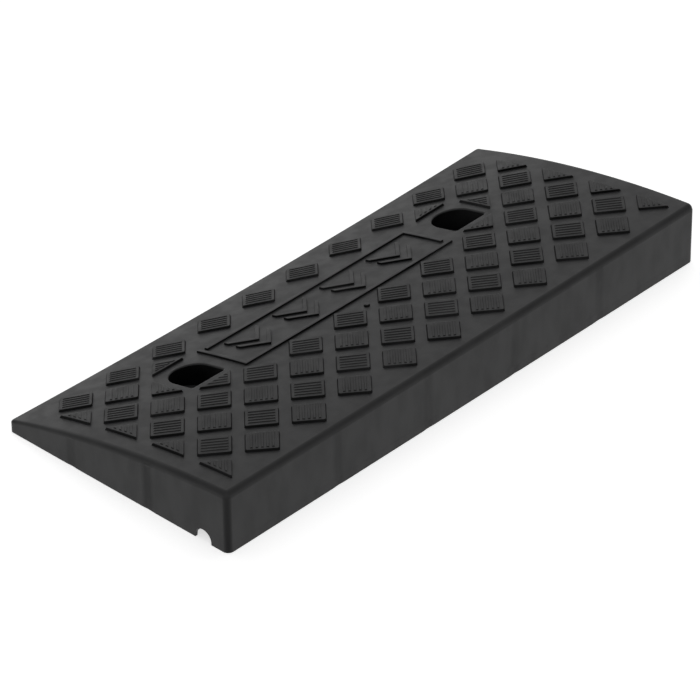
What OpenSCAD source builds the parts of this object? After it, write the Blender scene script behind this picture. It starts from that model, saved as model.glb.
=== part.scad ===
// Rubber kerb ramp: one moulding with a raised tread, two anchor pockets and a ribbed underside.
// X runs along the kerb and Z is up. The tall kerb face is at -Y and the thin edge, the toe, at +Y.
// The deck is an arc about an axis that lies far below the ramp and runs along X.

/* [Overall size] */
// Length along the kerb
ramp_length = 500; // [450:5:640]
// Width from the toe to the kerb face
ramp_width = 218; // [210:1:260]
// Height of the deck at the kerb face
kerb_height = 51; // [46:0.5:60]
// Thickness of the toe
toe_height = 8; // [5:0.2:9]
// Bulge of the deck above a straight slope
deck_crown = 6.8; // [5:0.1:8]

/* [Rounded edges] */
// Radius along the top of both ends
end_edge_r = 3.5; // [2:0.5:7]
// Radius along the top of the kerb face
kerb_edge_r = 5.5; // [2:0.5:8]
// Radius along the top of the toe
toe_edge_r = 1.5; // [1:0.25:3]
// Radius of the upright corners at the kerb face
kerb_corner_r = 6.5; // [2:0.5:10]
// Radius of the upright corners at the toe
toe_corner_r = 3; // [2:0.5:14]

/* [Tread] */
// Side of a square tread pad, which stands on its corner
pad_side = 24; // [20:0.2:27]
// Height of the pads above the deck
pad_rise = 1.6; // [1:0.1:3]
// Flat cut across each corner of a pad
pad_corner = 1.4; // [0.5:0.1:2.2]
// Toe to the middle of the first row of pads
first_row = 27; // [22:0.1:32]
// Least plain border between the pads and each end
end_border = 12; // [8:1:24]
// Least plain border between the pads and the kerb face
kerb_border = 9; // [8:1:20]
// Raised bars across each pad
bar_count = 5; // [3:1:6]
// Distance from one bar to the next
bar_pitch = 3.8; // [2.6:0.1:4.2]
// Width of a bar
bar_w = 1.9; // [1:0.1:2.2]
// Height of the bars above their pad
bar_rise = 0.5; // [0.3:0.1:0.9]
// Plain rim around the bars of a pad
bar_rim = 2.4; // [2:0.1:3]

/* [Anchors] */
// Distance between the two anchor bolts
anchor_spacing = 280; // [268:1:300]
// Radius of the round end of an anchor pocket
pocket_r = 16.5; // [16:0.25:18]
// Straight stretch of a pocket behind its round end
pocket_straight = 17.5; // [12:0.5:22]
// Rubber left under a pocket
pocket_floor = 6.5; // [5:0.25:9]
// Radius of the hole through the rubber for the bolt
bolt_hole_r = 6; // [5.5:0.25:8]
// Outer radius of the steel washer
washer_r = 15; // [12:0.25:15.5]
// Radius of the hole in the washer
washer_hole_r = 5.25; // [4.5:0.25:5.5]
// Thickness of the washer
washer_t = 2.5; // [1.5:0.25:4]
// Depth of the round seat that holds the washer
seat_depth = 1.5; // [1:0.25:3]
// Gap around the washer in its seat
seat_gap = 0.3; // [0.2:0.05:0.5]

/* [Panel between the anchors] */
// Length of the inner corner piece of the frame line
panel_l = 212; // [206:1:218]
// Width of the inner corner piece of the frame line
panel_w = 41; // [39:0.5:44]
// Gap between the inner corner piece and the end line of the outer one
end_gap = 3; // [1:0.25:5]
// Gap between the inner corner piece and the kerb line of the outer one
kerb_gap = 4.3; // [1:0.1:5]
// How far the outer corner piece runs past the inner one
line_over = 2; // [0:0.25:4]
// Width of the raised lines
line_w = 3; // [2:0.25:3.5]
// Height of the raised lines
line_rise = 1.5; // [0.8:0.1:2.2]
// Number of arrow marks in the panel
mark_count = 4; // [2:1:4]
// Distance from one arrow mark to the next
mark_pitch = 50; // [42:1:52]
// Span of an arrow mark
mark_w = 32; // [24:1:34]
// Distance between the two strokes of an arrow mark
mark_gap = 12; // [8:0.5:14]
// Radius of the moulding pip
pip_r = 2.3; // [1.5:0.1:3]
// Frame line to the middle of the pip
pip_offset = 13.5; // [10:0.5:15]

/* [Underside] */
// Radius of the channel along the kerb
channel_r = 8.25; // [6:0.25:9]
// Height of the straight sides of the channel
channel_side = 0.5; // [0.5:0.25:3]
// Kerb face to the middle of the channel
channel_offset = 23; // [18:0.5:28]
// Distance between the ribs that run along the ramp
rib_pitch = 35; // [32:1:38]
// Thickness of the ribs
rib_t = 8; // [5:0.5:12]
// Rubber left between the deck and the hollows
roof_t = 11; // [8:0.5:14]
// Rubber left around an anchor pocket
boss_wall = 7; // [5:0.5:10]
// Least rubber between the channel and the nearest hollow
channel_wall = 6; // [4:0.5:12]

/* [Hidden] */

$fn = 96;
arc_fn = 360;
over = 2;
rubber = [0.25, 0.25, 0.26];
steel = [0.30, 0.30, 0.31];

// The deck arc, in the plane of Y and Z
slope_drop = kerb_height - toe_height;
chord = sqrt(pow(ramp_width, 2) + pow(slope_drop, 2));
deck_r = (pow(chord / 2, 2) + pow(deck_crown, 2)) / (2 * deck_crown);
axis_y = -slope_drop / chord * (deck_r - deck_crown);
axis_z = (kerb_height + toe_height) / 2 - ramp_width / chord * (deck_r - deck_crown);
top_z = kerb_height + pad_rise + bar_rise + over;
function deck_z(y, r) = axis_z + sqrt(pow(r, 2) - pow(y - axis_y, 2));

// The tread: six pads reach from one anchor to the other, and the rows lie half a pitch apart
pad_pitch = anchor_spacing / 6;
row_pitch = pad_pitch / 2;
pad_reach = pad_side / sqrt(2);
field_half = floor((ramp_length / 2 - end_border) / pad_pitch);
pad_rows = 1 + floor((ramp_width - kerb_border - pad_reach - first_row) / row_pitch);
anchor_row = 2;
bar_l = pad_side - 2 * bar_rim;
function row_y(row) = ramp_width / 2 - first_row - row * row_pitch;

// The anchors and the panel between them share one line along the ramp
anchor_y = row_y(anchor_row);
anchor_column = anchor_spacing / 2 / pad_pitch;
seat_z = pocket_floor - seat_depth;
outer_x = -panel_l / 2 - end_gap - line_w;
outer_y = -panel_w / 2 - kerb_gap - line_w;

// The underside
channel_y = channel_offset - ramp_width / 2;
hollow_end = channel_y + channel_r + channel_wall;
hollow_bands = floor((anchor_y + rib_t / 2 - hollow_end) / rib_pitch);
hollow_l = pad_pitch - rib_t;
hollow_w = rib_pitch - rib_t;

// Everything under the deck, with rounded ends, turned about the deck's axis
module deck_drum() {
    half = ramp_length / 2;
    inner = deck_r - 2 * kerb_height;
    depth = deck_r - inner;
    translate([0, axis_y, axis_z]) rotate([0, 90, 0]) rotate_extrude($fn = arc_fn) {
        translate([inner, -half]) square([depth - end_edge_r, 2 * half]);
        translate([inner, end_edge_r - half]) square([depth, 2 * (half - end_edge_r)]);
        for (side = [-1, 1])
            translate([deck_r - end_edge_r, side * (half - end_edge_r)]) circle(r = end_edge_r);
    }
}

// Everything up to a height above the deck, past both ends
module under_arc(rise) {
    translate([-ramp_length / 2 - over, axis_y, axis_z]) rotate([0, 90, 0])
        cylinder(r = deck_r + rise, h = ramp_length + 2 * over, $fn = arc_fn);
}

// What a rounded top edge takes off, where the deck meets the face at face_y
module edge_waste(face_y, r) {
    out = sign(face_y);
    middle_y = face_y - out * r;
    middle_z = deck_z(middle_y, deck_r - r);
    lean = atan2(middle_y - axis_y, middle_z - axis_z);
    far = r + 2 * over;
    translate([middle_y, middle_z]) difference() {
        polygon([[0, 0], [out * far, 0], [out * far, far], [far * sin(lean), far * cos(lean)]]);
        circle(r = r);
    }
}

// What an upright rounded corner takes off
module corner_waste(x, y, r) {
    out_x = sign(x);
    out_y = sign(y);
    far = r + over;
    translate([x - out_x * r, y - out_y * r]) difference() {
        polygon([[0, 0], [out_x * far, 0], [out_x * far, out_y * far], [0, out_y * far]]);
        circle(r = r);
    }
}

module side_view() {
    rotate([90, 0, 90]) linear_extrude(height = ramp_length + 2 * over, center = true)
        difference() {
            translate([-ramp_width / 2, 0]) square([ramp_width, top_z]);
            edge_waste(-ramp_width / 2, kerb_edge_r);
            edge_waste(ramp_width / 2, toe_edge_r);
        }
}

module plan_view() {
    linear_extrude(height = top_z) difference() {
        square([ramp_length, ramp_width], center = true);
        for (x = [-ramp_length / 2, ramp_length / 2]) {
            corner_waste(x, -ramp_width / 2, kerb_corner_r);
            corner_waste(x, ramp_width / 2, toe_corner_r);
        }
    }
}

module blank() {
    intersection() {
        side_view();
        plan_view();
        deck_drum();
    }
}

// A pad seen from above, or the half of it on the side that keep points to, drawn in by inset
module pad_outline(keep, inset) {
    s = pad_side / 2 - inset;
    c = max(pad_corner - inset / 2, 0.2);
    intersection() {
        rotate(45) polygon([[s - c, s], [s, s - c], [s, c - s], [s - c, -s],
                            [c - s, -s], [-s, c - s], [-s, s - c], [c - s, s]]);
        translate(keep * (pad_side + inset)) square(2 * pad_side, center = true);
    }
}

// The bars of a pad run at 45 degrees to the ramp, to the left or to the right
module pad_bars(keep, turn) {
    intersection() {
        pad_outline(keep, bar_rim);
        rotate(turn) for (i = [0:bar_count - 1])
            translate([0, (i - (bar_count - 1) / 2) * bar_pitch])
                square([bar_l, bar_w], center = true);
    }
}

// Draws every pad, or its bars. The panel has none, and those cut by a pocket or an end are halves
module pad_field(bars) {
    for (row = [0:pad_rows - 1]) {
        odd = row % 2 == 1;
        by_anchor = abs(row - anchor_row) <= 1;
        step = odd ? 0 : 0.5;
        for (column = [step - field_half:field_half - step]) {
            side = sign(column);
            past_anchor = abs(column) - anchor_column;
            cut_by_end = abs(column) == field_half;
            cut_by_pocket = by_anchor && past_anchor >= 0 && past_anchor < 1;
            keep = cut_by_end ? [-side, 0]
                : !cut_by_pocket ? [0, 0]
                : odd ? [0, anchor_row - row] : [side, 0];
            turn = odd == (cut_by_pocket && side < 0) ? -45 : 45;
            if (!by_anchor || past_anchor >= 0)
                translate([column * pad_pitch, row_y(row)])
                    if (bars) pad_bars(keep, turn);
                    else pad_outline(keep, 0);
        }
    }
}

// Raises a flat drawing to a height above the deck
module raised(rise) {
    intersection() {
        translate([0, 0, toe_height / 2]) linear_extrude(height = top_z) children();
        under_arc(rise);
    }
}

// The frame's two corner pieces: an inner one at the toe and an outer one at the kerb
module panel_frame() {
    x = panel_l / 2;
    y = panel_w / 2;
    translate([-x, y - line_w]) square([2 * x, line_w]);
    translate([x - line_w, -y]) square([line_w, 2 * y]);
    translate([outer_x, outer_y]) {
        square([x + line_over - outer_x, line_w]);
        square([line_w, y + line_over - outer_y]);
    }
}

// Nested strokes that point up the slope
module arrow_marks() {
    half = mark_w / 2;
    stroke = line_w * sqrt(2);
    for (i = [0:mark_count - 1], up = [-1, 1])
        translate([(i - (mark_count - 1) / 2) * mark_pitch, (half + stroke - up * mark_gap) / 2])
            polygon([[-half, 0], [0, -half], [half, 0], [half, -stroke], [0, -half - stroke],
                     [-half, -stroke]]);
}

module pocket_outline(wall) {
    r = pocket_r + wall;
    circle(r = r);
    translate([-r, -pocket_straight - wall]) square([2 * r, pocket_straight + wall]);
}

// Calls its children at each anchor
module at_anchors() {
    for (side = [-1, 1])
        translate([side * anchor_spacing / 2, anchor_y]) children();
}

module anchor_pockets() {
    at_anchors() {
        translate([0, 0, pocket_floor]) linear_extrude(height = top_z) pocket_outline(0);
        translate([0, 0, seat_z]) cylinder(r = washer_r + seat_gap, h = seat_depth + over);
        translate([0, 0, -over]) cylinder(r = bolt_hole_r, h = seat_z + 2 * over);
    }
}

// Hollows between the ribs, with a roof that follows the deck
module hollows() {
    intersection() {
        translate([0, 0, -over]) linear_extrude(height = top_z) difference() {
            for (band = [-1:hollow_bands - 1], i = [0:2 * field_half - 1])
                translate([(i + 0.5 - field_half) * pad_pitch, anchor_y - (band + 0.5) * rib_pitch])
                    square([hollow_l, hollow_w], center = true);
            at_anchors() pocket_outline(boss_wall);
        }
        under_arc(-roof_t);
    }
}

module kerb_channel() {
    rotate([90, 0, 90]) linear_extrude(height = ramp_length + 2 * over, center = true)
        translate([channel_y, channel_side]) {
            circle(r = channel_r);
            translate([-channel_r, -channel_side - over]) square([2 * channel_r, channel_side + over]);
        }
}

module ramp_body() {
    color(rubber) difference() {
        union() {
            blank();
            raised(pad_rise) pad_field(false);
            raised(pad_rise + bar_rise) pad_field(true);
            raised(line_rise) translate([0, anchor_y]) {
                panel_frame();
                translate([panel_l / 2 + outer_x, panel_w / 2 + outer_y] / 2) arrow_marks();
                translate([0, outer_y - pip_offset]) circle(r = pip_r);
            }
        }
        anchor_pockets();
        hollows();
        kerb_channel();
    }
}

module anchor_washer(side) {
    color(steel) translate([side * anchor_spacing / 2, anchor_y, seat_z]) difference() {
        cylinder(r = washer_r, h = washer_t);
        translate([0, 0, -over]) cylinder(r = washer_hole_r, h = washer_t + 2 * over);
    }
}

ramp_body();
anchor_washer(-1);  // anchor_washer_left
anchor_washer(1);  // anchor_washer_right
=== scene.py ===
import math

import bmesh
import bpy
from mathutils import Matrix, Vector


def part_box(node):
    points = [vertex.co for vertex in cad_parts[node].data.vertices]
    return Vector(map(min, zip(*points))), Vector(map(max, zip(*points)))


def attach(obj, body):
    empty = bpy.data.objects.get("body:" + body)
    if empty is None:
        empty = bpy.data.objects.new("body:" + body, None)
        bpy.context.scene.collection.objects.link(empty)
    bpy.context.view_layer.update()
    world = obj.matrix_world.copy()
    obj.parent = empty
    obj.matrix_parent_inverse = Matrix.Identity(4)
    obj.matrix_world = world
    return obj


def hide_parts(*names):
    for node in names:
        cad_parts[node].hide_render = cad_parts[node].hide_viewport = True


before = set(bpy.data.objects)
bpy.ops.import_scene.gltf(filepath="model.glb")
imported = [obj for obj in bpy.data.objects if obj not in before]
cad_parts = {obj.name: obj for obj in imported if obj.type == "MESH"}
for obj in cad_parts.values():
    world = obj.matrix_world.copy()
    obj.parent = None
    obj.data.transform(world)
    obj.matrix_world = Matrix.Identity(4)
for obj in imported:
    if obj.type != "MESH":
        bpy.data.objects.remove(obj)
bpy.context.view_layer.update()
scene = bpy.context.scene
mm = 0.001  # the ramp is built in millimetres and scaled down when it is finished
touch = 0.001  # points this close, in millimetres, count as one
fineTouch = 0.0001  # the same for the small faces of the tread
nearby = 0.01  # a point this close to a line or a level lies on it
past = 2.0  # cutters reach this far past what they cut
steep = 0.5  # a face is a side where its normal has less z than this

rampLow, rampHigh = (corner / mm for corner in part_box("ramp_body"))
rampLength = rampHigh.x - rampLow.x
rampWidth = rampHigh.y - rampLow.y
washerLow, washerHigh = (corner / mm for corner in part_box("anchor_washer_right"))
anchorX = (washerLow.x + washerHigh.x) / 2
anchorY = (washerLow.y + washerHigh.y) / 2
seatZ = washerLow.z
washerR = (washerHigh.x - washerLow.x) / 2
print(f"frame loaded: ramp {rampLength:.1f} x {rampWidth:.1f} mm, anchors {2 * anchorX:.1f} mm apart")


# The deck's arc, seen from the end of the ramp
deck = {
    "kerbHeight": 51.0,
    "toeHeight": 8.0,
    "crown": 6.8,
    "kerbSag": 0.8,  # the rubber has settled between its ends, most along the toe
    "toeSag": 2.5,
    "toeLift": 0.6,  # share of the toe's sag by which its ends stand up
}
slopeDrop = deck["kerbHeight"] - deck["toeHeight"]
chord = math.hypot(rampWidth, slopeDrop)
deckR = ((chord / 2) ** 2 + deck["crown"] ** 2) / (2 * deck["crown"])
axisY = -slopeDrop / chord * (deckR - deck["crown"])
axisZ = (deck["kerbHeight"] + deck["toeHeight"]) / 2 - rampWidth / chord * (deckR - deck["crown"])


def deckHeight(y):
    return axisZ + math.sqrt(deckR ** 2 - (y - axisY) ** 2)


def deckSag(x, y):
    along = (2 * x / rampLength) ** 2
    toToe = y / rampWidth + 0.5
    atKerb = deck["kerbSag"] * (1 - along)
    atToe = deck["toeSag"] * (1 - (1 + deck["toeLift"]) * along)
    return atKerb + (atToe - atKerb) * toToe


# The moulding is first built flat, with the deck at z = 0, and is bent onto the arc afterwards.
# The first two levels only stand for heights that don't follow the deck.
levels = {
    "ground": -20.0,
    "pocketFloor": -6.0,
    "sink": -1.0,  # raised features start this far under the deck
}


def newObject(name, bm):
    bmesh.ops.recalc_face_normals(bm, faces=bm.faces[:])
    mesh = bpy.data.meshes.new(name)
    bm.to_mesh(mesh)
    bm.free()
    made = bpy.data.objects.new(name, mesh)
    scene.collection.objects.link(made)
    return made


def applyModifiers(target):
    evaluated = target.evaluated_get(bpy.context.evaluated_depsgraph_get())
    old = target.data
    target.data = bpy.data.meshes.new_from_object(evaluated)
    target.modifiers.clear()
    bpy.data.meshes.remove(old)


def fuse(target, tool, operation):
    step = target.modifiers.new("fuse", "BOOLEAN")
    step.operation = operation
    step.solver = "EXACT"
    step.object = tool
    applyModifiers(target)
    bpy.data.objects.remove(tool)


# Adds a copy of one bmesh to another
def addCopy(bm, part, matrix):
    mesh = bpy.data.meshes.new("copy")
    part.to_mesh(mesh)
    mesh.transform(matrix)
    bm.from_mesh(mesh)
    bpy.data.meshes.remove(mesh)


def vertsOf(geom):
    return [item for item in geom if isinstance(item, bmesh.types.BMVert)]


# Extrudes the whole of a flat drawing and returns the points of its new side
def extrudeAll(bm):
    return vertsOf(bmesh.ops.extrude_face_region(bm, geom=bm.faces[:], use_keep_orig=True)["geom"])


# Gives a flat drawing its height and rounds its top edges
def raiseFlat(bm, bottom, top, edgeR, segments=2):
    topVerts = extrudeAll(bm)
    bmesh.ops.translate(bm, verts=bm.verts[:], vec=(0, 0, bottom))
    bmesh.ops.translate(bm, verts=topVerts, vec=(0, 0, top - bottom))
    bmesh.ops.recalc_face_normals(bm, faces=bm.faces[:])
    bm.normal_update()
    rim = [edge for edge in bm.edges
           if all(v.co.z > top - touch for v in edge.verts)
           and min(abs(face.normal.z) for face in edge.link_faces) < steep]
    bmesh.ops.bevel(bm, geom=rim, offset=edgeR, offset_type="OFFSET", segments=segments,
                    profile=0.5, affect="EDGES", clamp_overlap=True, material=-1)


# Cuts the whole mesh along a plane and keeps both sides
def cutAll(bm, point, normal):
    bmesh.ops.bisect_plane(bm, geom=bm.verts[:] + bm.edges[:] + bm.faces[:], dist=touch,
                           plane_co=point, plane_no=normal)


def flatSquare(bm, width, height, matrix):
    shape = matrix @ Matrix.Diagonal((width, height, 1, 1))
    bmesh.ops.create_grid(bm, x_segments=1, y_segments=1, size=0.5, matrix=shape)


# Draws a half circle, runs its ends straight on along one axis to the foot, and fills it
def drawD(bm, r, segments, place, axis, foot):
    bmesh.ops.create_circle(bm, cap_ends=False, segments=segments, radius=r, matrix=place)
    half = [v for v in bm.verts if v.co[axis] < place.translation[axis] - touch]
    bmesh.ops.delete(bm, geom=half, context="VERTS")
    feet = []
    for v in [v for v in bm.verts if len(v.link_edges) == 1]:
        drawn = bmesh.ops.extrude_vert_indiv(bm, verts=[v])["verts"][0]
        drawn.co[axis] = foot
        feet.append(drawn)
    bm.edges.new(feet)
    bmesh.ops.holes_fill(bm, edges=bm.edges[:], sides=0)
    return feet


# The plain wedge: a flat plate with rounded corners and a rounded edge all round
blank = {
    "kerbCornerR": 5.0,
    "toeCornerR": 5.0,  # while its edge is drawn
    "toeCornerEndR": 2.5,  # when it is finished
    "cornerSegments": 10,
    "edgeR": 4.5,
    "toeEdgeR": 1.6,
    "toeBlend": 16.0,  # the edge radius shrinks over this distance from the toe
    "edgeDepth": 7.0,  # the rounding reaches further down the sides than it does in from them
    # distances from the outline, closest together where the edge is steepest
    "edgeRings": [0.0, 0.02, 0.08, 0.19, 0.43, 0.76, 1.2, 1.72, 2.35, 3.0, 3.7, 4.5],
}


# Distance from a point of the plate to its outline
def edgeDistance(x, y):
    cornerR = blank["kerbCornerR"] if y < 0 else blank["toeCornerR"]
    insideX = abs(x) - (rampLength / 2 - cornerR)
    insideY = abs(y) - (rampWidth / 2 - cornerR)
    if insideX > 0 and insideY > 0:
        return cornerR - math.hypot(insideX, insideY)
    return cornerR - max(insideX, insideY)


# How far the rounded edge lies below the deck
def edgeDrop(x, y):
    share = min(max((rampWidth / 2 - y) / blank["toeBlend"], 0.0), 1.0)
    share = share * share * (3 - 2 * share)
    r = blank["toeEdgeR"] + (blank["edgeR"] - blank["toeEdgeR"]) * share
    depth = blank["toeEdgeR"] + (blank["edgeDepth"] - blank["toeEdgeR"]) * share
    reach = max(r - max(edgeDistance(x, y), 0.0), 0.0)
    return depth * (1 - math.sqrt(max(1 - (reach / r) ** 2, 0.0)))


# Draws a point of a toe corner outwards, from the corner's first radius to its last one
def cornerStretch(point):
    first = blank["toeCornerR"]
    last = blank["toeCornerEndR"]
    centre = Vector((math.copysign(rampLength / 2 - first, point.x), rampWidth / 2 - first))
    arm = point.xy - centre
    if arm.y <= touch or arm.x * point.x <= touch:
        return Vector((0, 0))
    way = arm.normalized()
    along = (first - last) * (abs(way.x) + way.y)
    reach = along + math.sqrt(max(along ** 2 - 2 * (first - last) ** 2 + last ** 2, 0))
    straight = first / max(abs(way.x), way.y)
    if min(abs(way.x), way.y) * straight < first - last:
        reach = straight
    return arm * (reach / first - 1)


def buildBlank():
    bm = bmesh.new()
    flatSquare(bm, rampLength, rampWidth, Matrix.Identity(4))
    for side, cornerR in ((-1, blank["kerbCornerR"]), (1, blank["toeCornerR"])):
        corners = [v for v in bm.verts if v.co.y * side > rampWidth / 2 - nearby]
        bmesh.ops.bevel(bm, geom=corners, offset=cornerR, offset_type="OFFSET", affect="VERTICES",
                        segments=blank["cornerSegments"], profile=0.5, material=-1)
    top = bm.faces[:]
    rings = blank["edgeRings"]
    for outer, inner in zip(rings, rings[1:]):
        bmesh.ops.inset_region(bm, faces=top, thickness=inner - outer, use_even_offset=True,
                               use_boundary=True)
    for v in bm.verts:
        v.co.z = -edgeDrop(v.co.x, v.co.y)
    for v in bm.verts:
        v.co.xy += cornerStretch(v.co)
    outline = [edge for edge in bm.edges if edge.is_boundary]
    for v in vertsOf(bmesh.ops.extrude_edge_only(bm, edges=outline)["geom"]):
        v.co.z = levels["ground"]
    bmesh.ops.holes_fill(bm, edges=[edge for edge in bm.edges if edge.is_boundary], sides=0)
    return newObject("rampBody", bm)


# Shallow marks where the rubber has sunk in the kerb face and in the end faces
sink = {
    "pitch": 93.333,
    "kerbReach": 200.0,
    "endLines": (-31.0, 45.0),
    "width": 13.0,
    "depth": 0.3,
    "strips": 6,  # lines cut across each mark, so that it can bend
    "dull": 0.15,  # how much rougher the skin is there
    "core": 0.3,  # share of a mark that is dull throughout
    "faint": 0.5,  # share of that dullness on the kerb face and along the second end line
}


def sinkDepth(distance):
    return sink["depth"] * max(math.cos(math.pi * min(abs(distance) / sink["width"], 0.5)), 0) ** 2


# Cuts lines beside each mark and draws the walls in between them
def sinkWalls(bm):
    count = int(sink["kerbReach"] / sink["pitch"] + 0.5)
    kerbLines = [(i + 0.5) * sink["pitch"] for i in range(-count, count)]
    for axis, lines in ((0, kerbLines), (1, sink["endLines"])):
        across = Vector((axis == 0, axis == 1, 0))
        for line in lines:
            for step in range(sink["strips"] + 1):
                cutAll(bm, across * (line + (step / sink["strips"] - 0.5) * sink["width"]), across)
    for v in bm.verts:
        if v.co.y < -rampWidth / 2 + nearby:
            v.co.y += max(sinkDepth(v.co.x - line) for line in kerbLines)
        if abs(v.co.x) > rampLength / 2 - nearby:
            depth = max(sinkDepth(v.co.y - line) for line in sink["endLines"])
            v.co.x -= math.copysign(depth, v.co.x)


# The tread: square pads on their corners, with raised bars that turn from row to row
tread = {
    "padSide": 24.6,  # at the foot of the pad
    "padRise": 1.8,
    "padDraft": 0.7,  # how far each side leans in over the height of the pad
    "cornerR": 1.3,
    "cornerSegments": 3,
    "topEdgeR": 0.3,
    "turn": 45.0,  # the pads stand on their corners, and their bars run along their sides
    "firstRow": 27.0,  # from the toe to the middle of the first row
    "anchorRow": 2,  # counted from 0 at the toe
    "anchorSpan": 6,  # pad pitches from one anchor to the other
    "endBorder": 12.0,
    "kerbBorder": 9.0,
    "barCount": 5,
    "barPitch": 3.8,
    "barWidth": 2.2,
    "barTop": 1.1,  # the width of a bar at its top
    "barRise": 0.5,
    "barRim": 2.5,  # plain rim around the bars
    "leastBar": 3.0,  # a bar that covers fewer square millimetres than this is left out
}
padPitch = 2 * anchorX / tread["anchorSpan"]
rowPitch = padPitch / 2
fieldHalf = int((rampLength / 2 - tread["endBorder"]) // padPitch)
padReach = tread["padSide"] / math.sqrt(2)
padRows = 1 + int((rampWidth - tread["kerbBorder"] - padReach - tread["firstRow"]) // rowPitch)
anchorColumn = anchorX / padPitch


# Cuts the faces of a flat region along a straight line and returns all its faces
def cutRegion(bm, faces, point, normal):
    edges = {edge for face in faces for edge in face.edges}
    verts = {v for face in faces for v in face.verts}
    cut = bmesh.ops.bisect_plane(bm, geom=list(verts) + list(edges) + faces, dist=fineTouch,
                                 plane_co=point, plane_no=normal)["geom"]
    return [item for item in cut if isinstance(item, bmesh.types.BMFace)]


# Raises the bars on the top of a pad. They end at its rim, and beside the cut of a half pad
def raiseBars(bm, top, keep, turn):
    along = Vector((math.cos(turn), math.sin(turn), 0))
    across = Vector((-math.sin(turn), math.cos(turn), 0))
    reach = tread["padSide"] / 2 - tread["barRim"]
    field = top
    for side in (-1, 1):
        field = cutRegion(bm, field, along * side * reach, along)
    if keep.length > 0:
        field = cutRegion(bm, field, keep * tread["barRim"], keep)
    middle = (tread["barCount"] - 1) / 2
    for i in range(tread["barCount"]):
        for side in (-0.5, 0.5):
            offset = (i - middle) * tread["barPitch"] + side * tread["barWidth"]
            field = cutRegion(bm, field, across * offset, across)
    bars = []
    for face in field:
        centre = face.calc_center_median()
        row = centre.dot(across) / tread["barPitch"] + middle
        fromRow = abs(row - round(row)) * tread["barPitch"]
        inRow = fromRow < tread["barWidth"] / 2 and 0 <= round(row) < tread["barCount"]
        inLength = abs(centre.dot(along)) < reach
        insideCut = keep.length == 0 or centre.dot(keep) > tread["barRim"]
        if inRow and inLength and insideCut and face.calc_area() > tread["leastBar"]:
            bars.append(face)
    slope = (tread["barWidth"] - tread["barTop"]) / 2
    bmesh.ops.inset_individual(bm, faces=bars, thickness=slope, depth=tread["barRise"],
                               use_even_offset=True)


# keep points to the side of the pad that stays where a pocket or an end cuts it
def buildPad(keep, turn):
    bm = bmesh.new()
    topSide = tread["padSide"] - 2 * tread["padDraft"]
    flatSquare(bm, topSide, topSide, Matrix.Rotation(math.radians(tread["turn"]), 4, "Z"))
    if keep.length > 0:
        bmesh.ops.bisect_plane(bm, geom=bm.verts[:] + bm.edges[:] + bm.faces[:], dist=fineTouch,
                               plane_co=keep * tread["padDraft"], plane_no=-keep, clear_outer=True)
    bmesh.ops.bevel(bm, geom=bm.verts[:], offset=tread["cornerR"], offset_type="OFFSET",
                    affect="VERTICES", segments=tread["cornerSegments"], profile=0.5,
                    clamp_overlap=True, material=-1)
    raiseFlat(bm, levels["sink"], tread["padRise"], tread["topEdgeR"])
    lean = tread["padDraft"] * (tread["padRise"] - levels["sink"]) / tread["padRise"]
    grow = 1 + 2 * lean / topSide
    for v in bm.verts:
        if v.co.z < 0:
            v.co.xy *= grow
            v.co.xy -= keep.xy * lean
    top = [face for face in bm.faces
           if face.normal.z > 1 - nearby and face.calc_center_median().z > tread["padRise"] / 2]
    raiseBars(bm, top, keep, turn)
    bmesh.ops.recalc_face_normals(bm, faces=bm.faces[:])
    return bm


# Lays out the pads. Columns are counted in pitches from the middle of the ramp
def buildTread():
    bm = bmesh.new()
    ready = {}
    for row in range(padRows):
        odd = row % 2
        toAnchor = tread["anchorRow"] - row
        byAnchor = abs(toAnchor) <= 1
        y = rampWidth / 2 - tread["firstRow"] - row * rowPitch
        for i in range(2 * fieldHalf + odd):
            column = i - fieldHalf + (0 if odd else 0.5)
            side = (column > 0) - (column < 0)
            pastAnchor = abs(column) - anchorColumn
            if byAnchor and pastAnchor < -nearby:
                continue  # the panel lies here
            cutByPocket = byAnchor and pastAnchor < 1 - nearby
            keep = Vector((0, 0, 0))
            if abs(column) > fieldHalf - nearby:
                keep = Vector((-side, 0, 0))
            elif cutByPocket:
                keep = Vector((0, toAnchor, 0)) if odd else Vector((side, 0, 0))
            turn = math.radians(tread["turn"])
            if bool(odd) == (cutByPocket and side < 0):
                turn = -turn
            key = (tuple(keep), turn)
            if key not in ready:
                ready[key] = buildPad(keep, turn)
            addCopy(bm, ready[key], Matrix.Translation((column * padPitch, y, 0)))
    for pad in ready.values():
        pad.free()
    return bm


# The raised lines and marks between the anchors
panel = {
    "length": 212.0,
    "width": 41.0,
    "endGap": 3.0,  # between the inner and the outer corner piece of the frame line
    "kerbGap": 4.3,  # the same on the kerb side
    "lineOver": 2.0,  # how far the outer one runs past the inner one
    "lineWidth": 3.0,
    "lineRise": 1.6,
    "edgeR": 0.4,
    "markCount": 4,
    "markPitch": 50.0,
    "markWidth": 32.0,
    "markGap": 12.0,
    "pipR": 2.3,
    "pipEdgeR": 1.0,
    "pipEdgeSegments": 4,
    "pipSegments": 24,
    "pipOffset": 13.5,
}
outerX = -panel["length"] / 2 - panel["endGap"] - panel["lineWidth"]
outerY = -panel["width"] / 2 - panel["kerbGap"] - panel["lineWidth"]


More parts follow.
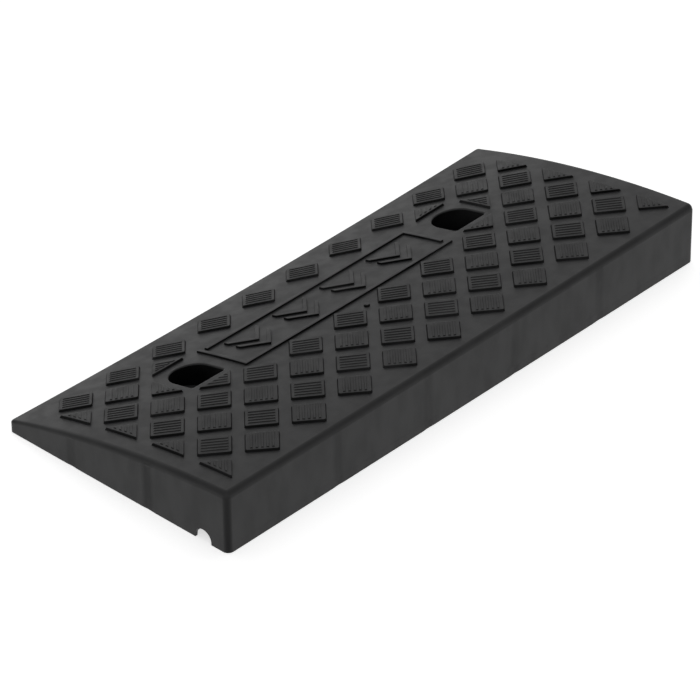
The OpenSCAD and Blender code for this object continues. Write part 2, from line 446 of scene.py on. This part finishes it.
# One corner piece of the frame line: a square at the corner, drawn out both ways
def buildCorner(corner, endX, endY):
    bm = bmesh.new()
    w = panel["lineWidth"]
    toX = 1 if endX > corner.x else -1
    toY = 1 if endY > corner.y else -1
    flatSquare(bm, w, w, Matrix.Translation((corner.x + toX * w / 2, corner.y + toY * w / 2, 0)))
    for axis, way, end in ((0, toX, endX), (1, toY, endY)):
        ends = [edge for edge in bm.edges
                if abs(edge.verts[0].co[axis] - edge.verts[1].co[axis]) < touch]
        # the end farthest that way, and of equals the one nearest to the corner
        edge = max(ends, key=lambda e: 2 * way * e.verts[0].co[axis]
                   - abs((e.verts[0].co[1 - axis] + e.verts[1].co[1 - axis]) / 2 - corner[1 - axis]))
        for v in vertsOf(bmesh.ops.extrude_edge_only(bm, edges=[edge])["geom"]):
            v.co[axis] = end
    raiseFlat(bm, levels["sink"], panel["lineRise"], panel["edgeR"])
    return bm


# An arrow stroke: a short edge drawn down to the point and up again
def buildStroke():
    bm = bmesh.new()
    half = panel["markWidth"] / 2
    width = panel["lineWidth"] * math.sqrt(2)
    edge = bm.edges.new([bm.verts.new((-half, 0, 0)), bm.verts.new((-half, -width, 0))])
    for step in ((half, -half, 0), (half, half, 0)):
        drawn = bmesh.ops.extrude_edge_only(bm, edges=[edge])["geom"]
        edge = next(item for item in drawn if isinstance(item, bmesh.types.BMEdge))
        bmesh.ops.translate(bm, verts=vertsOf(drawn), vec=step)
    raiseFlat(bm, levels["sink"], panel["lineRise"], panel["edgeR"])
    return bm


def buildPanel():
    bm = bmesh.new()
    halfX = panel["length"] / 2
    halfY = panel["width"] / 2
    over = panel["lineOver"]
    corners = [buildCorner(Vector((halfX, halfY, 0)), -halfX, -halfY),
               buildCorner(Vector((outerX, outerY, 0)), halfX + over, halfY + over)]
    for corner in corners:
        addCopy(bm, corner, Matrix.Translation((0, anchorY, 0)))
        corner.free()
    stroke = buildStroke()
    half = panel["markWidth"] / 2
    centre = Vector(((halfX + outerX) / 2, anchorY + (halfY + outerY) / 2, 0))
    for i in range(panel["markCount"]):
        for up in (-1, 1):
            y = (half + panel["lineWidth"] * math.sqrt(2) - up * panel["markGap"]) / 2
            x = (i - (panel["markCount"] - 1) / 2) * panel["markPitch"]
            addCopy(bm, stroke, Matrix.Translation(centre + Vector((x, y, 0))))
    stroke.free()
    pip = bmesh.new()
    bmesh.ops.create_circle(pip, cap_ends=True, segments=panel["pipSegments"], radius=panel["pipR"])
    raiseFlat(pip, levels["sink"], panel["lineRise"], panel["pipEdgeR"], panel["pipEdgeSegments"])
    addCopy(bm, pip, Matrix.Translation((0, anchorY + outerY - panel["pipOffset"], 0)))
    pip.free()
    return bm


# The pockets for the anchors, each a D with a rounded rim
pocket = {
    "r": 16.5,
    "straight": 17.5,  # length of the straight sides, towards the kerb
    "roundSegments": 64,
    "cornerR": 2.0,
    "cornerSegments": 6,
    "rimR": 1.3,
    "rimSegments": 4,
    "floorZ": 6.5,  # above the ground
    "boltHoleR": 6.0,
    "seatGap": 0.3,
}


def buildPocketCutter(x):
    bm = bmesh.new()
    r = pocket["r"] + pocket["rimR"]
    foot = anchorY - pocket["straight"] - pocket["rimR"]
    place = Matrix.Translation((x, anchorY, 0))
    corners = drawD(bm, r, pocket["roundSegments"], place, 1, foot)
    bmesh.ops.bevel(bm, geom=corners, offset=pocket["cornerR"] + pocket["rimR"], offset_type="OFFSET",
                    affect="VERTICES", segments=pocket["cornerSegments"], profile=0.5, material=-1)
    bmesh.ops.translate(bm, verts=bm.verts[:], vec=(0, 0, tread["padRise"] + tread["barRise"] + past))
    if bm.faces[:][0].normal.z > 0:
        bmesh.ops.reverse_faces(bm, faces=bm.faces[:])
    lid = bmesh.ops.extrude_face_region(bm, geom=bm.faces[:], use_keep_orig=True)["geom"]
    bottom = [item for item in lid if isinstance(item, bmesh.types.BMFace)]
    for v in vertsOf(lid):
        v.co.z = 0
    for i in range(pocket["rimSegments"]):
        before, after = (math.pi / 2 * k / pocket["rimSegments"] for k in (i, i + 1))
        inward = pocket["rimR"] * (math.sin(after) - math.sin(before))
        bmesh.ops.inset_region(bm, faces=bottom, thickness=inward, depth=0, use_even_offset=True)
        for v in {v for face in bottom for v in face.verts}:
            v.co.z = pocket["rimR"] * (math.cos(after) - 1)
    for v in vertsOf(bmesh.ops.extrude_face_region(bm, geom=bottom)["geom"]):
        v.co.z = levels["pocketFloor"]
    bmesh.ops.delete(bm, geom=[face for face in bottom if face.is_valid], context="FACES_ONLY")
    return newObject("pocketCutter", bm)


# The underside: hollows between ribs, a channel along the kerb, bolt holes and washer seats
underside = {
    "ribPitch": 35.0,
    "rib": 8.0,  # thickness of a rib
    "roof": 11.0,  # thickness of the rubber over the hollows
    "firstBand": -1,  # one band of hollows lies on the toe side of the anchors
    "bossWall": 7.0,  # rubber around an anchor pocket
    "roundSegments": 48,
    "hollowDraft": 1.0,
    "hollowCornerR": 3.0,
    "hollowCornerSegments": 3,
    "channelR": 7.75,
    "channelSegments": 40,
    "channelSide": 1.8,  # height of its straight sides
    "channelOffset": 24.2,  # from the kerb face to its middle
    "channelWall": 5.3,
    "mouthWall": 2.0,  # behind this wall the channel is wider for a stretch
    "mouthLength": 24.0,
    "mouthWidth": 4.0,
    "mouthDrop": 0.5,  # the mouth's roof lies this far under the channel's
}
channelY = underside["channelOffset"] - rampWidth / 2


# A block with rounded corners and drafted sides. top gives the height of its roof at any y
def boxCutter(bm, x, y, width, height, top):
    part = bmesh.new()
    flatSquare(part, width, height, Matrix.Identity(4))
    bmesh.ops.bevel(part, geom=part.verts[:], offset=underside["hollowCornerR"], offset_type="OFFSET",
                    affect="VERTICES", segments=underside["hollowCornerSegments"], profile=0.5,
                    clamp_overlap=True, material=-1)
    topVerts = extrudeAll(part)
    bmesh.ops.translate(part, verts=part.verts[:], vec=(0, 0, -past))
    draft = underside["hollowDraft"]
    for v in topVerts:
        v.co.x *= 1 - 2 * draft / width
        v.co.y *= 1 - 2 * draft / height
        v.co.z = top(y + v.co.y)
    addCopy(bm, part, Matrix.Translation((x, y, 0)))
    part.free()


def buildHollows():
    bm = bmesh.new()
    hollowEnd = channelY + underside["channelR"] + underside["channelWall"]
    bands = int((anchorY + underside["rib"] / 2 - hollowEnd) // underside["ribPitch"])
    for band in range(underside["firstBand"], bands):
        for i in range(2 * fieldHalf):
            x = (i + 0.5 - fieldHalf) * padPitch
            y = anchorY - (band + 0.5) * underside["ribPitch"]
            boxCutter(bm, x, y, padPitch - underside["rib"], underside["ribPitch"] - underside["rib"],
                      lambda at: deckHeight(at) - underside["roof"])
    return newObject("hollows", bm)


# The rubber left around the anchor pockets, taken out of the hollows
def buildBosses():
    bm = bmesh.new()
    r = pocket["r"] + underside["bossWall"]
    foot = anchorY - pocket["straight"] - underside["bossWall"]
    for side in (-1, 1):
        part = bmesh.new()
        place = Matrix.Translation((side * anchorX, anchorY, 0))
        drawD(part, r, underside["roundSegments"], place, 1, foot)
        top = extrudeAll(part)
        bmesh.ops.translate(part, verts=part.verts[:], vec=(0, 0, -2 * past))
        bmesh.ops.translate(part, verts=top, vec=(0, 0, rampHigh.z + 2 * past))
        addCopy(bm, part, Matrix.Identity(4))
        part.free()
    return newObject("bosses", bm)


def cylinderCutter(bm, r, low, high, x, y):
    middle = Matrix.Translation((x, y, (low + high) / 2))
    bmesh.ops.create_cone(bm, cap_ends=True, segments=underside["roundSegments"], radius1=r, radius2=r,
                          depth=high - low, matrix=middle)


def buildChannel():
    bm = bmesh.new()
    place = Matrix.Translation((-rampLength / 2 - past, channelY, underside["channelSide"]))
    place = place @ Matrix.Rotation(math.radians(90), 4, "Y")
    drawD(bm, underside["channelR"], underside["channelSegments"], place, 2, -past)
    bmesh.ops.translate(bm, verts=extrudeAll(bm), vec=(rampLength + 2 * past, 0, 0))
    return newObject("channel", bm)


# Widens the channel behind each end wall, on the side away from the kerb
def buildMouths():
    bm = bmesh.new()
    length = underside["mouthLength"]
    x = rampLength / 2 - underside["mouthWall"] - length / 2
    width = underside["channelR"] + underside["mouthWidth"]
    roof = underside["channelSide"] + underside["channelR"] - underside["mouthDrop"]
    for side in (-1, 1):
        boxCutter(bm, side * x, channelY + width / 2, length, width, lambda at: roof)
    return newObject("mouths", bm)


def joined(name, *parts):
    bm = bmesh.new()
    for part in parts:
        addCopy(bm, part, Matrix.Identity(4))
        part.free()
    return newObject(name, bm)


# Lines cut across the flat moulding so that it can bend
bend = {
    "firstLine": 4.0,  # from the end of the ramp, and from its kerb face
    "alongStep": 25.0,
    "acrossStep": 5.0,
}
finish = {
    "weld": 0.002,
    "sharpAngle": 32.0,
}


def buildRamp():
    body = buildBlank()
    fuse(body, joined("raised", buildTread(), buildPanel()), "UNION")
    for side in (-1, 1):
        fuse(body, buildPocketCutter(side * anchorX), "DIFFERENCE")
    print("flat moulding built:", len(body.data.polygons), "faces")
    bm = bmesh.new()
    bm.from_mesh(body.data)
    for axis, step in ((0, bend["alongStep"]), (1, bend["acrossStep"])):
        line = Vector((0, 0, 0))
        across = Vector((axis == 0, axis == 1, 0))
        line[axis] = rampLow[axis] + bend["firstLine"]
        while line[axis] < rampHigh[axis]:
            cutAll(bm, line, across)
            line[axis] += step
    sinkWalls(bm)
    for v in bm.verts:
        if v.co.z < levels["ground"] + nearby:
            v.co.z = 0
        elif v.co.z < levels["pocketFloor"] + nearby:
            v.co.z = pocket["floorZ"]
        else:
            v.co.z += deckHeight(v.co.y) - deckSag(v.co.x, v.co.y)
    bm.to_mesh(body.data)
    bm.free()
    hollows = buildHollows()
    fuse(hollows, buildBosses(), "DIFFERENCE")
    fuse(body, hollows, "DIFFERENCE")
    fuse(body, buildChannel(), "DIFFERENCE")
    fuse(body, buildMouths(), "DIFFERENCE")
    seatR = washerR + pocket["seatGap"]
    seatTop = pocket["floorZ"] + past
    for r, foot, top in ((seatR, seatZ, seatTop), (pocket["boltHoleR"], -past, seatTop)):
        bm = bmesh.new()
        for side in (-1, 1):
            cylinderCutter(bm, r, foot, top, side * anchorX, anchorY)
        fuse(body, newObject("seatsAndHoles", bm), "DIFFERENCE")
    bm = bmesh.new()
    bm.from_mesh(body.data)
    bmesh.ops.remove_doubles(bm, verts=bm.verts[:], dist=finish["weld"])
    bmesh.ops.scale(bm, vec=(mm, mm, mm), verts=bm.verts[:])
    bm.to_mesh(body.data)
    print("ramp body finished:", len(body.data.polygons), "faces,",
          sum(not edge.is_manifold for edge in bm.edges), "open edges")
    bm.free()
    body.data.shade_smooth()
    body.data.set_sharp_from_angle(angle=math.radians(finish["sharpAngle"]))
    normals = body.modifiers.new("evenShading", "WEIGHTED_NORMAL")
    normals.keep_sharp = True
    return body


def newMaterial(name):
    made = bpy.data.materials.new(name)
    made.use_nodes = True
    made.node_tree.nodes.clear()
    return made, made.node_tree


# Sets a node's own settings by name, and otherwise the values of its sockets
def addNode(tree, kind, **values):
    node = tree.nodes.new(kind)
    for key, value in values.items():
        if hasattr(node, key):
            setattr(node, key, value)
        else:
            node.inputs[key.replace("_", " ")].default_value = value
    return node


def mapRange(tree, value, fromMin, fromMax, toMin, toMax):
    made = addNode(tree, "ShaderNodeMapRange", interpolation_type="SMOOTHSTEP")
    made.inputs["From Min"].default_value = fromMin
    made.inputs["From Max"].default_value = fromMax
    made.inputs["To Min"].default_value = toMin
    made.inputs["To Max"].default_value = toMax
    tree.links.new(value, made.inputs["Value"])
    return made.outputs["Result"]


# first and second are plain numbers or the outputs of other nodes
def mathNode(tree, operation, first, second=None):
    made = addNode(tree, "ShaderNodeMath", operation=operation)
    for socket, value in zip(made.inputs, (first, second)):
        if isinstance(value, (int, float)):
            socket.default_value = value
        elif value is not None:
            tree.links.new(value, socket)
    return made.outputs[0]


rubberLook = {
    "color": (0.018, 0.018, 0.0185, 1),
    "bloomColor": (0.028, 0.028, 0.0285, 1),  # where the skin has a grey bloom
    # painted shade: a darker colour for faces that lie in shadow, the sides of raised parts, the bar
    # slopes and the pocket insides
    "paintedShadeColor": (0.004, 0.004, 0.004, 1),
    "specular": 0.225,
    "treadSpecular": 0.17,
    "barSpecular": 0.15,  # on the slopes of the bars
    "pocketSpecular": 0.03,
    "sideSpecular": 0.06,  # painted shade: the sides of the tread and of the lines are darker in colour, with less specular, for the shadow that lies on them
    "roughness": 0.45,
    "blotchSize": 0.012,
    "blotchRoughness": 0.05,
    "cloudSize": 0.05,
    "cloudRoughness": 0.04,
    "spread": (0.3, 0.7),  # the part of a noise that the roughness follows
    "bloomSpread": (0.4, 0.75),
    "streakScale": (1.0, 1.0, 0.4),
    "grainSize": 0.0011,
    "grainDetail": 3.0,
    "grainDepth": 0.00012,
    "grainStrength": 0.35,
}


# One noise on Object coordinates, its features about size metres wide
def noiseOf(tree, place, size, detail=2.0):
    noise = addNode(tree, "ShaderNodeTexNoise")
    noise.inputs["Scale"].default_value = 1 / size
    noise.inputs["Detail"].default_value = detail
    tree.links.new(place, noise.inputs["Vector"])
    return noise.outputs["Fac"]


# Shows where the walls have sunk: up to 1 along each line, and 0 away from it
def sinkBands(tree, place):
    at = addNode(tree, "ShaderNodeSeparateXYZ")
    tree.links.new(place, at.inputs[0])
    pitch = sink["pitch"] * mm
    alongKerb = mathNode(tree, "FLOORED_MODULO", at.outputs["X"], pitch)
    offsets = [mathNode(tree, "SUBTRACT", alongKerb, pitch / 2)]
    for line in sink["endLines"]:
        offsets.append(mathNode(tree, "SUBTRACT", at.outputs["Y"], line * mm))
    half = sink["width"] * mm / 2
    bands = []
    for offset in offsets:
        distance = mathNode(tree, "ABSOLUTE", offset)
        bands.append(mapRange(tree, distance, half, half * sink["core"], 0.0, 1.0))
    fromMiddle = mathNode(tree, "ABSOLUTE", at.outputs["X"])
    inReach = mathNode(tree, "LESS_THAN", fromMiddle, sink["kerbReach"] * mm)
    kerb = mathNode(tree, "MULTIPLY", bands[0], mathNode(tree, "MULTIPLY", inReach, sink["faint"]))
    second = mathNode(tree, "MULTIPLY", bands[2], sink["faint"])
    return mathNode(tree, "MAXIMUM", kerb, mathNode(tree, "MAXIMUM", bands[1], second))


# isWall adds upright streaks and the sink marks; the last flag paints shade, darkening the rubber's
# colour
def rubberSkin(name, specular, isWall=False, isShadePainted=False):
    made, tree = newMaterial(name)
    output = addNode(tree, "ShaderNodeOutputMaterial")
    skin = addNode(tree, "ShaderNodeBsdfPrincipled")
    skin.inputs["Specular IOR Level"].default_value = specular
    place = addNode(tree, "ShaderNodeTexCoord").outputs["Object"]
    plain = place
    if isWall:
        streaks = addNode(tree, "ShaderNodeMapping")
        streaks.inputs["Scale"].default_value = rubberLook["streakScale"]
        tree.links.new(place, streaks.inputs["Vector"])
        place = streaks.outputs["Vector"]
    blotch = noiseOf(tree, place, rubberLook["blotchSize"])
    cloud = noiseOf(tree, place, rubberLook["cloudSize"])
    grain = noiseOf(tree, plain, rubberLook["grainSize"], rubberLook["grainDetail"])
    low = rubberLook["roughness"] - rubberLook["blotchRoughness"]
    high = rubberLook["roughness"] + rubberLook["blotchRoughness"]
    drift = rubberLook["cloudRoughness"]
    rough = mapRange(tree, blotch, *rubberLook["spread"], low, high)
    rough = mathNode(tree, "ADD", rough, mapRange(tree, cloud, *rubberLook["spread"], -drift, drift))
    if isWall:
        marks = mathNode(tree, "MULTIPLY", sinkBands(tree, plain), sink["dull"])
        rough = mathNode(tree, "ADD", rough, marks)
    tree.links.new(rough, skin.inputs["Roughness"])
    tint = addNode(tree, "ShaderNodeMix", data_type="RGBA")
    bloom = mapRange(tree, cloud, *rubberLook["bloomSpread"], 0.0, 1.0)
    tree.links.new(bloom, tint.inputs["Factor"])
    # a shaded skin mixes from the painted shade colour to the plain colour, the others from the plain
    # colour to the bloom
    tint.inputs["A"].default_value = rubberLook["paintedShadeColor" if isShadePainted else "color"]
    tint.inputs["B"].default_value = rubberLook["color" if isShadePainted else "bloomColor"]
    tree.links.new(tint.outputs["Result"], skin.inputs["Base Color"])
    bump = addNode(tree, "ShaderNodeBump")
    bump.inputs["Strength"].default_value = rubberLook["grainStrength"]
    bump.inputs["Distance"].default_value = rubberLook["grainDepth"]
    tree.links.new(grain, bump.inputs["Height"])
    tree.links.new(bump.outputs["Normal"], skin.inputs["Normal"])
    tree.links.new(skin.outputs["BSDF"], output.inputs["Surface"])
    return made


# Where one finish, or a patch of painted shade, ends and the next begins
finishEdge = {
    "barFoot": 0.05,  # above the tops of the pads
    "padTop": 0.15,  # below them
    "deck": 0.1,
    "wall": 1.0,
    "barSlope": 0.9,  # a face is sloped, flat, a side or upright by the z of its normal
    "flat": 0.5,
    "side": 0.6,
    "upright": 0.3,
}


# Gives the tread, its bars and sides, the walls and the inside of the pockets their own finish; the
# sides of the raised parts, the slopes of the bars and the inside of the pockets get a darker colour,
# painted shade
def paintRubber(body):
    skins = [
        rubberSkin("mouldedRubber", rubberLook["specular"]),
        rubberSkin("treadRubber", rubberLook["treadSpecular"]),
        rubberSkin("sideRubberPaintedShade", rubberLook["sideSpecular"], isShadePainted=True),
        rubberSkin("pocketRubberPaintedShade", rubberLook["pocketSpecular"], isShadePainted=True),
        rubberSkin("wallRubber", rubberLook["specular"], isWall=True),
        rubberSkin("barRubberPaintedShade", rubberLook["barSpecular"], isShadePainted=True),
    ]
    body.data.materials.clear()
    for skin in skins:
        body.data.materials.append(skin)
    pocketReach = pocket["straight"] + pocket["rimR"]
    wallX = rampLength / 2 - finishEdge["wall"]
    wallY = finishEdge["wall"] - rampWidth / 2
    for face in body.data.polygons:
        centre = face.center / mm
        facing = face.normal.z
        rise = centre.z - deckHeight(centre.y) + deckSag(centre.x, centre.y)
        atWall = abs(centre.x) > wallX or centre.y < wallY
        atPocket = max(abs(abs(centre.x) - anchorX), abs(centre.y - anchorY)) < pocketReach
        skin = "mouldedRubber"
        # the bar slopes, the sides of raised parts and the pocket insides take painted shade
        if rise > tread["padRise"] + finishEdge["barFoot"] and facing < finishEdge["barSlope"]:
            skin = "barRubberPaintedShade"
        elif rise > tread["padRise"] - finishEdge["padTop"] and facing > finishEdge["flat"]:
            skin = "treadRubber"
        elif rise > finishEdge["deck"] and facing < finishEdge["side"]:
            skin = "sideRubberPaintedShade"
        elif atWall and abs(facing) < finishEdge["upright"]:
            skin = "wallRubber"
        elif atPocket and rise < -pocket["rimR"] and centre.z > seatZ - finishEdge["deck"]:
            skin = "pocketRubberPaintedShade"
        face.material_index = body.data.materials.find(skin)
    print("rubber painted in", len(skins), "finishes")


washerLook = {
    "color": (0.02, 0.02, 0.021, 1),
    "roughness": 0.55,
}


def coatedSteel():
    made, tree = newMaterial("coatedSteel")
    output = addNode(tree, "ShaderNodeOutputMaterial")
    skin = addNode(tree, "ShaderNodeBsdfPrincipled")
    skin.inputs["Base Color"].default_value = washerLook["color"]
    skin.inputs["Roughness"].default_value = washerLook["roughness"]
    tree.links.new(skin.outputs["BSDF"], output.inputs["Surface"])
    return made


# Camera at the photograph's viewing angle
view = {
    "aim": (-0.0386, -0.0252, 0.0250),
    "distance": 3.1270,
    "azimuth": -46.451,
    "elevation": 34.223,
    "roll": -0.703,
    "lens": 222.91,
    "sensorWidth": 36.0,
    "clipEnd": 20.0,
}


def addCamera():
    data = bpy.data.cameras.new("camera")
    data.lens = view["lens"]
    data.sensor_width = view["sensorWidth"]
    data.clip_end = view["clipEnd"]
    camera = bpy.data.objects.new("camera", data)
    scene.collection.objects.link(camera)
    azimuth = math.radians(view["azimuth"])
    elevation = math.radians(view["elevation"])
    back = Vector((math.sin(azimuth) * math.cos(elevation),
                   -math.cos(azimuth) * math.cos(elevation),
                   math.sin(elevation)))
    camera.location = Vector(view["aim"]) + back * view["distance"]
    turn = (-back).to_track_quat("-Z", "Y").to_matrix().to_4x4()
    turn = turn @ Matrix.Rotation(math.radians(view["roll"]), 4, "Z")
    camera.rotation_euler = turn.to_euler()
    scene.camera = camera
    print("camera placed")


# A white tent, bright behind the ramp, in front of it and overhead, and dim at both sides.
# Directions are measured along brightSide, which points away from the camera, or by their height.
studio = {
    "worldStrength": 0.75,
    "brightSide": (0.72, 0.69, 0.0),
    "tentFrom": -0.1,
    "tentTo": 0.7,
    "tentFull": 0.9,
    "tentDim": 0.33,
    "frontFrom": -0.25,
    "frontTo": -0.55,
    "overheadFrom": 0.8,
    "overheadTo": 0.97,
    "horizonBlend": 0.05,
    "table": 1.06,  # what a reflection sees below the horizon
    "tableFrom": -0.9,
    "tableTo": -0.3,
    "tableDim": 0.05,  # the near part of the table is darker
    "tableHigh": -0.1,
    "tableLow": -0.38,
    "floorSize": 12.0,
    "floorZ": -0.0002,  # just clear of the underside
    "floorColor": 0.85,
    "floorLift": 0.62,  # brings the floor up to white where the camera or a reflection sees it
    "keyPower": 6.0,
    "keySize": 2.5,
    "keyPlace": (0.5, 0.8, 2.5),
}


# 1 where the camera, a reflection or a view through glass meets the background
def seenDirectly(tree):
    path = addNode(tree, "ShaderNodeLightPath")
    seen = path.outputs["Is Camera Ray"]
    for other in ("Is Glossy Ray", "Is Transmission Ray"):
        seen = mathNode(tree, "MAXIMUM", seen, path.outputs[other])
    return seen


def addWorld():
    world = bpy.data.worlds.new("studio")
    scene.world = world
    world.use_nodes = True
    tree = world.node_tree
    tree.nodes.clear()
    output = addNode(tree, "ShaderNodeOutputWorld")
    place = addNode(tree, "ShaderNodeTexCoord")
    facing = addNode(tree, "ShaderNodeVectorMath", operation="DOT_PRODUCT")
    facing.inputs[1].default_value = studio["brightSide"]
    tree.links.new(place.outputs["Generated"], facing.inputs[0])
    height = addNode(tree, "ShaderNodeSeparateXYZ")
    tree.links.new(place.outputs["Generated"], height.inputs[0])
    way = facing.outputs["Value"]
    up = height.outputs["Z"]
    full = studio["tentFull"]
    back = mapRange(tree, way, studio["tentFrom"], studio["tentTo"], studio["tentDim"], full)
    front = mapRange(tree, way, studio["frontFrom"], studio["frontTo"], 0.0, full)
    overhead = mapRange(tree, up, studio["overheadFrom"], studio["overheadTo"], 0.0, full)
    tent = mathNode(tree, "MAXIMUM", back, mathNode(tree, "MAXIMUM", front, overhead))
    away = mapRange(tree, way, studio["tableFrom"], studio["tableTo"], studio["tableDim"], 1.0)
    shallow = mapRange(tree, up, studio["tableHigh"], studio["tableLow"], 1.0, 0.0)
    table = mathNode(tree, "MULTIPLY", mathNode(tree, "MAXIMUM", away, shallow), studio["table"])
    below = mapRange(tree, up, studio["horizonBlend"], -studio["horizonBlend"], 0.0, 1.0)
    level = addNode(tree, "ShaderNodeMix", data_type="FLOAT")
    tree.links.new(below, level.inputs["Factor"])
    tree.links.new(tent, level.inputs["A"])
    tree.links.new(table, level.inputs["B"])
    glow = level.outputs["Result"]
    soft = addNode(tree, "ShaderNodeBackground")
    tree.links.new(mathNode(tree, "MULTIPLY", glow, studio["worldStrength"]), soft.inputs["Strength"])
    white = addNode(tree, "ShaderNodeBackground")
    camera = addNode(tree, "ShaderNodeLightPath").outputs["Is Camera Ray"]
    tree.links.new(mathNode(tree, "MAXIMUM", glow, camera), white.inputs["Strength"])
    for background in (soft, white):
        background.inputs["Color"].default_value = (1, 1, 1, 1)
    mix = addNode(tree, "ShaderNodeMixShader")
    tree.links.new(seenDirectly(tree), mix.inputs["Fac"])
    tree.links.new(soft.outputs[0], mix.inputs[1])
    tree.links.new(white.outputs[0], mix.inputs[2])
    tree.links.new(mix.outputs[0], output.inputs["Surface"])


def addStudio():
    bm = bmesh.new()
    flatSquare(bm, studio["floorSize"], studio["floorSize"], Matrix.Identity(4))
    bmesh.ops.translate(bm, verts=bm.verts[:], vec=(0, 0, studio["floorZ"]))
    floor = newObject("floor", bm)
    made, tree = newMaterial("paleFloor")
    output = addNode(tree, "ShaderNodeOutputMaterial")
    diffuse = addNode(tree, "ShaderNodeBsdfDiffuse")
    diffuse.inputs["Color"].default_value = (studio["floorColor"],) * 3 + (1,)
    glow = addNode(tree, "ShaderNodeEmission")
    add = addNode(tree, "ShaderNodeAddShader")
    lift = mathNode(tree, "MULTIPLY", seenDirectly(tree), studio["floorLift"])
    tree.links.new(lift, glow.inputs["Strength"])
    tree.links.new(diffuse.outputs[0], add.inputs[0])
    tree.links.new(glow.outputs[0], add.inputs[1])
    tree.links.new(add.outputs[0], output.inputs["Surface"])
    floor.data.materials.append(made)
    floor.visible_glossy = False  # a reflection sees the world's own table instead
    addWorld()

    data = bpy.data.lights.new("key", "AREA")
    data.energy = studio["keyPower"]
    data.size = studio["keySize"]
    lamp = bpy.data.objects.new("key", data)
    lamp.location = studio["keyPlace"]
    lamp.rotation_euler = (-lamp.location).to_track_quat("-Z", "Y").to_euler()
    scene.collection.objects.link(lamp)
    print("floor, tent and lamp placed")


addCamera()
addStudio()
rampBody = buildRamp()
paintRubber(rampBody)
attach(rampBody, "root")
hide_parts("ramp_body")
steel = coatedSteel()
for name in ("anchor_washer_left", "anchor_washer_right"):
    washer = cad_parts[name]
    washer.data.materials.clear()
    washer.data.materials.append(steel)
print("washers coated")

scene.view_settings.view_transform = "Standard"
